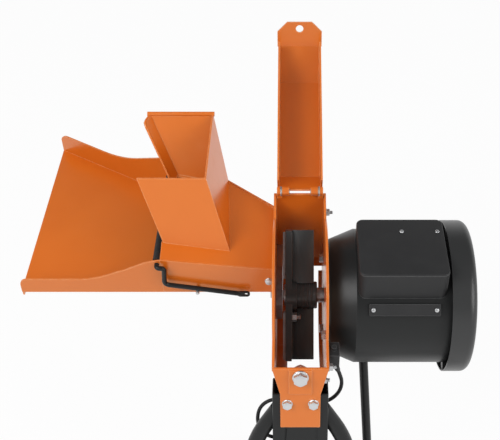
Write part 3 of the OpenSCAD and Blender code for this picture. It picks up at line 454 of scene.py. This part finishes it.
def pick_edges(piece, test):
    """Select the edges whose middle (in mm) and direction pass the test, and stay in edit mode."""
    shape = edit(piece, "EDGE")
    for edge in shape.edges:
        a, b = edge.verts[0].co, edge.verts[1].co
        if test((a + b) * 500, (b - a).normalized()):
            edge.select_set(True)
    bmesh.update_edit_mesh(piece.data)


def soften(piece, test, width, segments=2):
    """Round the edges that pass the test."""
    pick_edges(piece, test)
    bpy.ops.mesh.bevel(offset=width / 1000, segments=segments, affect="EDGES")
    bpy.ops.object.mode_set(mode="OBJECT")
    return piece


def block(name, low, high):
    """Box start between two corners."""
    clear()
    middle = mm(*((a + b) / 2 for a, b in zip(low, high)))
    bpy.ops.mesh.primitive_cube_add(size=1, location=middle)
    piece = fresh(name)
    piece.scale = mm(*(b - a for a, b in zip(low, high)))
    return settle(piece)


def rod(name, radius, low, high, sides):
    """Round or many-sided bar start along Z."""
    clear()
    bpy.ops.mesh.primitive_cylinder_add(
        vertices=sides, radius=radius / 1000, depth=(high - low) / 1000,
        location=mm(0, 0, (low + high) / 2))
    return settle(fresh(name))


def turned(name, outline, steps=36):
    """Lathe-turned shape about Z, from (radius, height) points."""
    clear()
    bpy.ops.mesh.primitive_plane_add(size=0.001, location=mm(outline[0][0], 0, outline[0][1]))
    piece = settle(fresh(name))
    edit(piece, "VERT")
    bpy.ops.mesh.select_all(action="SELECT")
    bpy.ops.mesh.merge(type="CENTER")
    for (r0, z0), (r1, z1) in zip(outline, outline[1:]):
        bpy.ops.mesh.extrude_region_move(
            TRANSFORM_OT_translate={"value": mm(r1 - r0, 0, z1 - z0)})
    bpy.ops.mesh.select_all(action="SELECT")
    bpy.ops.mesh.spin(steps=steps, angle=2 * math.pi, center=(0, 0, 0), axis=(0, 0, 1))
    close_up()
    return piece


def cut(piece, tool, how):
    choose(piece)
    step = piece.modifiers.new("cut", "BOOLEAN")
    step.object, step.operation, step.solver = tool, how, "EXACT"
    bpy.ops.object.modifier_apply(modifier=step.name)
    bpy.data.objects.remove(tool)
    return piece


def copy_of(piece, place):
    """Copy with its own mesh, moved by a matrix."""
    choose(piece)
    bpy.ops.object.duplicate(linked=False)
    return put(bpy.context.object, place)


def copies(one, places):
    """A copy at each place, in place of the one that they are made from."""
    pieces = [copy_of(one, place) for place in places]
    bpy.data.objects.remove(one)
    return pieces


def joined(name, pieces):
    choose(pieces[0])
    for piece in pieces[1:]:
        piece.select_set(True)
    bpy.ops.object.join()
    return fresh(name)


def finished(piece, material, body, replaced=None):
    choose(piece)
    bpy.ops.object.shade_smooth_by_angle(angle=math.radians(35))
    piece.data.materials.clear()
    piece.data.materials.append(material)
    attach(piece, body)
    if replaced:
        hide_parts(replaced)
    return piece


HEAD = Matrix.Translation(at_head(0, 0, 0))
NECK = HEAD @ shift(0, -LIP_REACH, LIP_Z) @ turn(90 - NECK_LEAN, "X")
FACING_LEFT, FACING_RIGHT, FACING_FRONT = turn(-90, "Y"), turn(90, "Y"), turn(90, "X")
UPSIDE_DOWN = turn(180, "X")


# Fasteners, drawn standing on z 0; the sizes are widths across the flats and shank radii
M12_FLATS, M8_FLATS, M6_FLATS = 19.2, 13, 10
M12_R, M8_R, M6_R = 6, 4, 3


def hex_head(name, across, height):
    """Hexagon head or nut whose corners are turned off to a round top."""
    head = rod(name, across / math.sqrt(3), 0, height, 6)
    round_top, slope = 0.475 * across, math.sqrt(3)
    clear()
    bpy.ops.mesh.primitive_cone_add(
        vertices=48, radius1=(round_top + slope * (height + 1)) / 1000,
        radius2=(round_top - slope) / 1000, depth=(height + 2) / 1000,
        location=mm(0, 0, height / 2))
    return cut(head, fresh("turning"), "INTERSECT")


def threaded(name, radius, low, thread_end, high, pitch=1.25):
    """Shank with a chamfered, threaded lower end."""
    chamfer, depth = 0.9, 0.65
    outline = [(0, low), (radius - chamfer, low), (radius, low + chamfer)]
    z = low + chamfer
    while z + pitch < thread_end:
        outline += [(radius - depth, z + pitch / 2), (radius, z + pitch)]
        z += pitch
    return turned(name, outline + [(radius, high), (0, high)], 24)


def washer(name, hole, radius, low, high):
    c = 0.35
    return turned(name, [
        (hole, low), (radius - c, low), (radius, low + c), (radius, high - c),
        (radius - c, high), (hole, high), (hole, low)])


def pan_screw(name, radius, height):
    """Slotted screw head with a domed top."""
    head = turned(name, [
        (0, -0.5), (radius, -0.5), (radius, 0.4 * height), (0.86 * radius, 0.75 * height),
        (0.55 * radius, 0.95 * height), (0, height)], 28)
    slot = block("slot", (-2 * radius, -0.16 * radius, 0.45 * height),
                 (2 * radius, 0.16 * radius, 2 * height))
    return cut(head, slot, "DIFFERENCE")


def latch_screw():
    """Screw of the latch pad, with a washer before the pad and a nut behind it."""
    piece = joined("latch_screw", [
        put(hex_head("head", M12_FLATS, 7.5), shift(0, 0, 9.5)),
        washer("washer", M12_R, 12, 7, 9.5),
        put(hex_head("nut", M12_FLATS, 10), UPSIDE_DOWN),
        threaded("shank", M12_R, -14, -1, 9.6, 1.75)])
    down_neck = 13
    put(piece, NECK @ shift(0, -down_neck, 0))
    finished(piece, zinc_steel, "frame", "latch_bolt")


def neck_screws():
    """Two flanged screws through the neck and the column, with nuts on the column's back."""
    one = joined("neck_screw", [
        put(hex_head("head", M8_FLATS, 5.5), shift(0, 0, 4.6)),
        washer("flange", M8_R, 8, 4, 4.7),
        put(hex_head("nut", M8_FLATS, 7), shift(0, 0, -40) @ UPSIDE_DOWN),
        threaded("shank", M8_R, -50, -39, 4.7)])
    aside, down_neck = 19.5, 65
    pieces = copies(one, [NECK @ shift(x, -down_neck, 0) for x in (-aside, aside)])
    finished(joined("neck_screws", pieces), zinc_steel, "frame", "neck_bolts")


def plate_screws(name, node, places, tail, flush=()):
    """Screws on a side plate, heads standing off it; at the flush places they end level."""
    one = joined("plate_screw", [
        hex_head("head", M8_FLATS, 5.5), threaded("shank", M8_R, -tail, 6 - tail, 0.1)])
    pieces = copies(one, [HEAD @ shift(*p) @ FACING_LEFT for p in places])
    level = cut(threaded("level", M8_R, -tail, 6 - tail, 0), rod("socket", 2.3, -3, 1, 6),
                "DIFFERENCE")
    pieces += copies(level, [HEAD @ shift(*p) @ FACING_LEFT for p in flush])
    finished(joined(name, pieces), zinc_steel, "frame", node)


def knife_screws():
    """Countersunk knife screws: the inner one of each arm has a nut, the outer one ends flush."""
    long_one = joined("long", [
        threaded("shank", M8_R, -28, -13, 0), washer("washer", M8_R, 8, -15.6, -14),
        put(hex_head("nut", M8_FLATS, 6.5), shift(0, 0, -15.6) @ UPSIDE_DOWN)])
    short_one = threaded("short", M8_R, -14, -8, 0)
    knife_face, lead = -27, -10
    pieces = []
    for one, r in ((long_one, 34), (short_one, 80)):
        pieces += copies(one, [
            HEAD @ turn(ARM_TURN + arm, "X") @ shift(knife_face, r, lead) @ FACING_LEFT
            for arm in (0, 180)])
    finished(joined("knife_screws", pieces), zinc_steel, "rotor", "knife_bolts")


def throat_screws():
    """Flanged screw by the chamber, and the stud that the lever rests over."""
    screw = joined("throat_screw", [
        put(hex_head("head", M6_FLATS, 3.4), shift(0, 0, 0.6)),
        washer("flange", 2.5, 6.3, 0, 0.8)])
    put(screw, HEAD @ shift(-49, NEAR_Y, 37) @ FACING_FRONT)
    stop = turned("stop_stud", [(0, -1), (3, -1), (3, 11.6), (2.2, 13), (0, 13)], 24)
    put(stop, HEAD @ shift(-161, NEAR_Y, 21.27) @ FACING_FRONT)
    piece = joined("throat_screws", [screw, stop])
    finished(piece, zinc_steel, "frame", "throat_bolts")


def side_studs():
    """Threaded studs with nuts on the chamber's outside: upper plate, neck cheek, switch foot."""
    one = joined("side_stud", [
        washer("washer", M6_R, 6.5, 0, 1.2),
        put(hex_head("nut", M6_FLATS, 5), shift(0, 0, 1.2)),
        put(threaded("end", M6_R, -11, -5, 0.2, 1), UPSIDE_DOWN)])
    pieces = copies(one, [HEAD @ shift(*p) @ FACING_RIGHT for p in (
        (PLATE_OUT, 104, 84), neck_at(32.7, 29, -7), (PLATE_OUT, -150, 8))])
    finished(joined("side_studs", pieces), zinc_steel, "frame")


def lid_screws():
    """Slotted screws on the terminal lid and on the strip under it."""
    pieces = copies(pan_screw("lid_one", 3.2, 1.8), [
        HEAD @ shift(x, 16, LID_TOP) for x in (154, 208)])
    strip_turn, strip_r = 144, 110
    pieces += copies(pan_screw("strip_one", 3.4, 2.0), [
        HEAD @ turn(strip_turn, "X") @ shift(x, strip_r, 0) @ turn(-90, "X")
        for x in (108, 202)])
    finished(joined("lid_screws", pieces), zinc_steel, "frame", "box_screws")


# Rotor and chamber pieces
def weld_bead(name, radius, length, ripple=2.4):
    """Rippled weld bead along Z."""
    outline, z = [(0, 0), (0.6 * radius, 0)], 0.0
    while z + ripple <= length:
        outline += [(radius, z + 0.4 * ripple), (0.8 * radius, z + ripple)]
        z += ripple
    return turned(name, outline + [(0, z)], 12)


def throw_paddles():
    """Throwing paddles, welded on the arm and up to the hub."""
    foot, back, front = -13, 5, 11
    plate = block("paddle", (foot, 19.5, back), (22, 104, front))
    soften(plate, lambda c, d: True, 0.8, 2)
    beads = [put(weld_bead("bead", 1.7, 74), shift(foot, 27, z) @ turn(-90, "X"))
             for z in (back, front)]
    one = joined("paddle", [plate, *beads])
    pieces = copies(one, [HEAD @ turn(ARM_TURN + arm, "X") for arm in (0, 180)])
    finished(joined("throw_paddles", pieces), lit_rotor_paint, "rotor",
             "rotor_paddles")


def discharge_edges():
    """Front run of the bent-in edges under the rotor, each with a rounded free end."""
    inner, outer, start, sweep = 118, 121, -93, 46
    pieces = []
    for x0, x1 in ((-PLATE_IN, -20.4), (32, PLATE_IN)):
        edge = block("edge", (x0, inner, -1), (x1, outer, 0))
        pick_faces(edge, lambda c, n: n.z < -0.9)
        bpy.ops.mesh.spin(steps=20, angle=math.radians(sweep), center=(0, 0, 0),
                          axis=(1, 0, 0))
        close_up()
        soften(edge, lambda c, d: c.y < 95 and abs(d.x) > 0.9, 1.2, 3)
        pieces.append(put(edge, HEAD @ turn(start, "X")))
    finished(joined("discharge_edges", pieces), orange_paint, "frame")


def hinge_collars():
    """Steel collars on the ends of the fixed hinge knuckles."""
    one = turned("collar", [
        (7.02, 0), (7.6, 0), (8, 0.4), (8, 2.4), (7.6, 2.8), (7.02, 2.8), (7.02, 0)], 32)
    pieces = copies(one, [
        HEAD @ shift(29, HINGE_Y, HINGE_Z) @ FACING_RIGHT,
        HEAD @ shift(-29, HINGE_Y, HINGE_Z) @ FACING_LEFT])
    finished(joined("hinge_collars", pieces), zinc_steel, "frame")


# Motor and switch pieces
def terminal_lid():
    """Pressed lid: round corners, a rolled top edge and a shadow gap over the box."""
    lid = block("terminal_lid", (86, -75, LID_TOP - 3), (218, 44, LID_TOP))
    soften(lid, lambda c, d: abs(d.z) > 0.9, 10, 8)
    soften(lid, lambda c, d: c.z > LID_TOP - 0.1 and abs(d.z) < 0.1, 2.3, 4)
    pick_faces(lid, lambda c, n: n.z < -0.9)
    bpy.ops.mesh.inset(thickness=0.0012)
    bpy.ops.transform.translate(value=mm(0, 0, 0.5))
    bpy.ops.object.mode_set(mode="OBJECT")
    put(lid, HEAD)
    finished(lid, black_plastic, "frame", "box_lid")


def switch_gland():
    """Cable gland with a hexagon and a ribbed, tapering strain relief, leaning with the lead."""
    bore = LEAD_R + 0.02
    outline = [(bore, 1.5), (5.5, 1.5), (5.5, -3.4), (5.0, -3.6), (5.0, -8)]
    for k in range(6):
        r, z = 5.0 - 0.22 * k, -8 - 2.5 * k
        outline += [(r, z - 1.5), (r - 0.75, z - 1.7), (r - 0.75, z - 2.3), (r - 0.22, z - 2.5)]
    outline += [(3.5, -23.6), (bore, -23.6), (bore, 1.5)]
    body = turned("gland_body", outline, 28)
    nut = put(hex_head("gland_nut", 12.5, 4), shift(0, 0, -4) @ UPSIDE_DOWN)
    piece = joined("lead_gland", [body, nut])
    put(piece, HEAD @ shift(*GLAND) @ turn(-GLAND_LEAN, "Y"))
    finished(piece, black_plastic, "frame", "switch_gland")


def column_grommet():
    """Rubber grommet with a round lip on the column's back."""
    bore = LEAD_R + 0.1
    outline = [(bore, -44.2), (3.5, -45), (5.2, -45), (6.6, -44.4), (7.7, -43), (8, -41.6),
               (7.6, -40), (bore, -40), (bore, -44.2)]
    piece = put(turned("column_grommet", outline, 32), NECK @ shift(0, -GROMMET_S, 0))
    finished(piece, rubber_black, "frame", "cable_grommet")


# Feed pieces
def rounded_route(corners, radius, steps=6):
    """Route through corner points, each inner corner turned on an arc of about that radius."""
    route = [corners[0]]
    for before, here, after in zip(corners, corners[1:], corners[2:]):
        a, b = before - here, after - here
        reach = min(radius, 0.45 * a.length, 0.45 * b.length)
        a, b = a.normalized() * reach, b.normalized() * reach
        for k in range(steps + 1):
            t = k / steps
            route.append(here + a * (1 - t) ** 2 + b * t ** 2)
    return route + [corners[-1]]


def bent_bar(name, corners, reach, radius):
    """Round bar bent through corner points."""
    route = rounded_route([Vector(p) for p in corners], reach)
    bar_curve = bpy.data.curves.new(name, "CURVE")
    bar_curve.dimensions = "3D"
    bar_curve.bevel_depth, bar_curve.bevel_resolution = radius / 1000, 6
    bar_curve.use_fill_caps = True
    run = bar_curve.splines.new("POLY")
    run.points.add(len(route) - 1)
    for point, knot in zip(route, run.points):
        knot.co = (*(point / 1000), 1)
    bar = bpy.data.objects.new(name, bar_curve)
    scene.collection.objects.link(bar)
    choose(bar)
    bpy.ops.object.convert(target="MESH")
    return bpy.context.object


def hood_bead():
    """Rolled edge of the hood's lip, from the rim round the corner and down to the roof."""
    bead = bent_bar("hood_bead", [
        (-246, 226, 189), (-253.2, 205, 189), (-209.2, 145.2, 111.3)], 9, 1.9)
    finished(put(bead, HEAD), orange_paint, "frame")


def hand_lever():
    """Flap rod with its cranked hand lever, bent from one bar and flattened to an eye."""
    far = (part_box("flap_lever")[1][1] - SHAFT[1]) * 1000
    eye_x, eye_z = -85, 16
    bar = bent_bar("hand_lever", [
        (FLAP_X, far, FLAP_Z), (FLAP_X, LEVER_Y, FLAP_Z), (-209, LEVER_Y, 73),
        (-212, LEVER_Y, 38), (eye_x - 8, LEVER_Y, eye_z)], 9, 3.8)
    eye = block("eye", (eye_x - 14, LEVER_Y - 2, eye_z - 5), (eye_x + 6, LEVER_Y + 2, eye_z + 5))
    soften(eye, lambda c, d: abs(d.y) > 0.9, 4.9, 6)
    cut(eye, put(rod("hole", 3, -10, 10, 32), shift(eye_x, LEVER_Y, eye_z) @ FACING_FRONT),
        "DIFFERENCE")
    soften(eye, lambda c, d: abs(d.y) < 0.1 and abs(c.y - LEVER_Y) > 1.9, 0.5, 2)
    piece = put(joined("hand_lever", [bar, eye]), HEAD)
    finished(piece, black_paint, "flap", "flap_lever")


FLAP_LOW = 18.5                  # lower end of the flap's strips


def flap_strip(left, right, curl, slant):
    """Hanging strip whose lower end curls a little and whose far edge may be cut slanting."""
    strip = block("strip", (FLAP_X - 2.3, left, FLAP_LOW), (FLAP_X + 2.3, right, FLAP_Z - 5.5))
    shape = edit(strip, "FACE")
    for vert in shape.verts:
        if slant and vert.co.y * 1000 > right - 1:
            vert.co.y -= slant / 1000 if vert.co.z * 1000 < FLAP_LOW + 1 else 0.002
    bmesh.update_edit_mesh(strip.data)
    bpy.ops.mesh.select_all(action="SELECT")
    bpy.ops.mesh.subdivide(number_cuts=5)
    shape = bmesh.from_edit_mesh(strip.data)
    hinge = FLAP_Z - 20
    for vert in shape.verts:
        drop = max(0.0, (hinge - vert.co.z * 1000) / (hinge - FLAP_LOW))
        vert.co.x += curl / 1000 * drop * drop
    bmesh.update_edit_mesh(strip.data)
    bpy.ops.object.mode_set(mode="OBJECT")
    round_off = strip.modifiers.new("round_off", "BEVEL")
    round_off.width, round_off.segments = 0.0007, 2
    round_off.limit_method, round_off.angle_limit = "ANGLE", math.radians(50)
    choose(strip)
    bpy.ops.object.modifier_apply(modifier=round_off.name)
    return strip


def flap_leaf():
    """Rubber flap: a ribbed sleeve on the rod, five strips and two clamping ribs."""
    near, far, ribs, strips, half_gap = 1.5, 208.9, 12, 5, 1
    run = far - near
    outline = [(4.1, 0)]
    for k in range(ribs):
        z, z_next = run * k / ribs, run * (k + 1) / ribs
        outline += [(7.4, z + 0.6), (7.4, z_next - 2.2), (6.8, z_next - 1.4)]
    outline += [(4.1, run), (4.1, 0)]
    parts = [put(turned("sleeve", outline, 28), shift(FLAP_X, near, FLAP_Z) @ turn(-90, "X"))]
    for k in range(strips):
        last = k == strips - 1
        left = near + k * run / strips + (half_gap if k else 0)
        right = near + (k + 1) * run / strips - (0 if last else half_gap)
        parts.append(flap_strip(left, right, 0.5 if k % 2 else -0.4, 20 if last else 0))
    for z in (60, 56):
        rib = block("clamp_rib", (FLAP_X - 2.5, near + 1, z - 1), (FLAP_X + 2.5, far - 9, z + 1))
        parts.append(soften(rib, lambda c, d: abs(d.y) > 0.9, 0.6, 2))
    piece = put(joined("flap_leaf", parts), HEAD)
    finished(piece, rubber_black, "flap", "rubber_flap")


# Wheels
WHEEL_MIDDLE = {"left": (-230, 0, 92), "right": (290, 0, 92)}    # row frame
BEAD_R, LUGS = 76.05, 36


def tyre_lugs():
    """Ring of staggered shoulder lugs about Z."""
    lug = block("lug", (85, -3.2, 9), (89.9, 3.2, 17.2))
    pick_faces(lug, lambda c, n: n.x > 0.9)
    bpy.ops.transform.resize(value=(1, 0.8, 0.75))
    bpy.ops.object.mode_set(mode="OBJECT")
    soften(lug, lambda c, d: c.x > 89, 0.6, 2)
    other = copy_of(lug, turn(180 / LUGS, "Z") @ Matrix.Scale(-1, 4, (0, 0, 1)))
    edit(other, "FACE")
    close_up()
    lugs = joined("lugs", [lug, other])
    edit(lugs, "FACE")
    bpy.ops.mesh.select_all(action="SELECT")
    bpy.ops.mesh.spin(steps=LUGS, angle=2 * math.pi, center=(0, 0, 0), axis=(0, 0, 1),
                      dupli=True)
    close_up()
    return lugs


def tyres():
    """Tyres with grooved tread, shoulder lugs and stepped side walls."""
    half = [(BEAD_R, 16), (78, 17), (82, 17.9), (85.5, 17.2), (87.6, 14.6), (88.2, 12),
            (88.2, 7.4), (86.2, 6.8), (86.2, 5.2), (88.6, 4.6)]
    outline = [(r, -x) for r, x in half] + [(r, x) for r, x in reversed(half)] + [(BEAD_R, -16)]
    one = joined("tyre", [turned("tyre", outline, 72), tyre_lugs()])
    for side, middle in WHEEL_MIDDLE.items():
        piece = copy_of(one, shift(*middle) @ FACING_RIGHT)
        piece.name = piece.data.name = f"tread_tyre_{side}"
        finished(piece, rubber_black, f"wheel_{side}", f"{side}_tyre")
    bpy.data.objects.remove(one)


FLANGE_R = 82.5                  # circle of the motor flange's screws
latch_screw()
neck_screws()
plate_screws("flange_screws", "flange_bolts", [
    (PLATE_IN, FLANGE_R, 0), (PLATE_IN, -FLANGE_R, 0), (PLATE_IN, 0, -FLANGE_R)],
    tail=16, flush=[(PLATE_IN, 0, FLANGE_R)])
plate_screws("bed_screws", "chamber_bolts", [(-PLATE_OUT, y, -8) for y in (10, 70)], tail=14)
knife_screws()
throw_paddles()
discharge_edges()
throat_screws()
side_studs()
lid_screws()
terminal_lid()
switch_gland()
column_grommet()
hood_bead()
hand_lever()
flap_leaf()
hinge_collars()
tyres()


# Floor, light and background
WHITE = (1, 1, 1, 1)


def seen_by(tree, *rays):
    """One for rays of the named kinds, nought for the rest."""
    path = tree.nodes.new("ShaderNodeLightPath")
    mask = path.outputs[rays[0]]
    for ray in rays[1:]:
        mask = maths(tree, "MAXIMUM", mask, path.outputs[ray])
    return mask


def blended(tree, factor, a, b):
    node = tree.nodes.new("ShaderNodeMixShader")
    for socket, source in zip(node.inputs, (factor, a, b)):
        join(tree, source, socket)
    return node.outputs["Shader"]


def pale_floor():
    """Plain floor that looks white, in mirrors too, and keeps the object's shadow."""
    clear()
    bpy.ops.mesh.primitive_plane_add(size=14, location=(0, 2, -0.0005))
    floor = fresh("floor")
    material = bpy.data.materials.new("floor_paint")
    material.use_nodes = True
    tree = material.node_tree
    matte = tree.nodes["Principled BSDF"]
    matte.inputs["Base Color"].default_value = (0.72, 0.72, 0.72, 1)
    matte.inputs["Roughness"].default_value = 0.9
    glow = add(tree, "ShaderNodeEmission", Strength=1.0, Color=WHITE)
    seen = seen_by(tree, "Is Camera Ray", "Is Glossy Ray", "Is Transmission Ray")
    share = maths(tree, "MULTIPLY", seen, 0.92)
    surface = blended(tree, share, matte.outputs["BSDF"], glow.outputs["Emission"])
    join(tree, surface, tree.nodes["Material Output"].inputs["Surface"])
    floor.data.materials.append(material)


def studio_world():
    """White where it is seen; polished paint sees white low down and a dim ceiling above it."""
    world = bpy.data.worlds.new("studio")
    scene.world = world
    world.use_nodes = True
    tree = world.node_tree
    dim = tree.nodes["Background"]
    dim.inputs["Color"].default_value = (0.97, 0.98, 1.0, 1)
    white = add(tree, "ShaderNodeBackground", Strength=1.0, Color=WHITE)
    mirrored = add(tree, "ShaderNodeBackground", Color=WHITE)
    direction = tree.nodes.new("ShaderNodeSeparateXYZ")
    join(tree, tree.nodes.new("ShaderNodeTexCoord").outputs["Generated"],
         direction.inputs["Vector"])
    height = direction.outputs["Z"]
    join(tree, spread(tree, height, 0.12, 0.55, 0.95, 0.12), mirrored.inputs["Strength"])
    join(tree, spread(tree, height, -0.2, 0.8, 0.32, 0.88), dim.inputs["Strength"])
    light = blended(tree, seen_by(tree, "Is Glossy Ray"), dim.outputs["Background"],
                    mirrored.outputs["Background"])
    surface = blended(tree, seen_by(tree, "Is Camera Ray", "Is Transmission Ray"), light,
                      white.outputs["Background"])
    join(tree, surface, tree.nodes["World Output"].inputs["Surface"])


def soft_lamp(name, place, power, side=1.4):
    """Square soft lamp that looks at the rotor."""
    data = bpy.data.lights.new(name, "AREA")
    data.shape, data.size, data.size_y, data.energy = "RECTANGLE", side, side, power
    lamp = bpy.data.objects.new(name, data)
    scene.collection.objects.link(lamp)
    lamp.location = place
    aim = Vector(at_head(0, 0, 0)) - lamp.location
    lamp.rotation_euler = aim.to_track_quat("-Z", "Y").to_euler()


pale_floor()
studio_world()
soft_lamp("key_left", (-1.7, -1.0, 2.5), 46)
soft_lamp("fill_right", (1.9, -0.9, 1.9), 26)
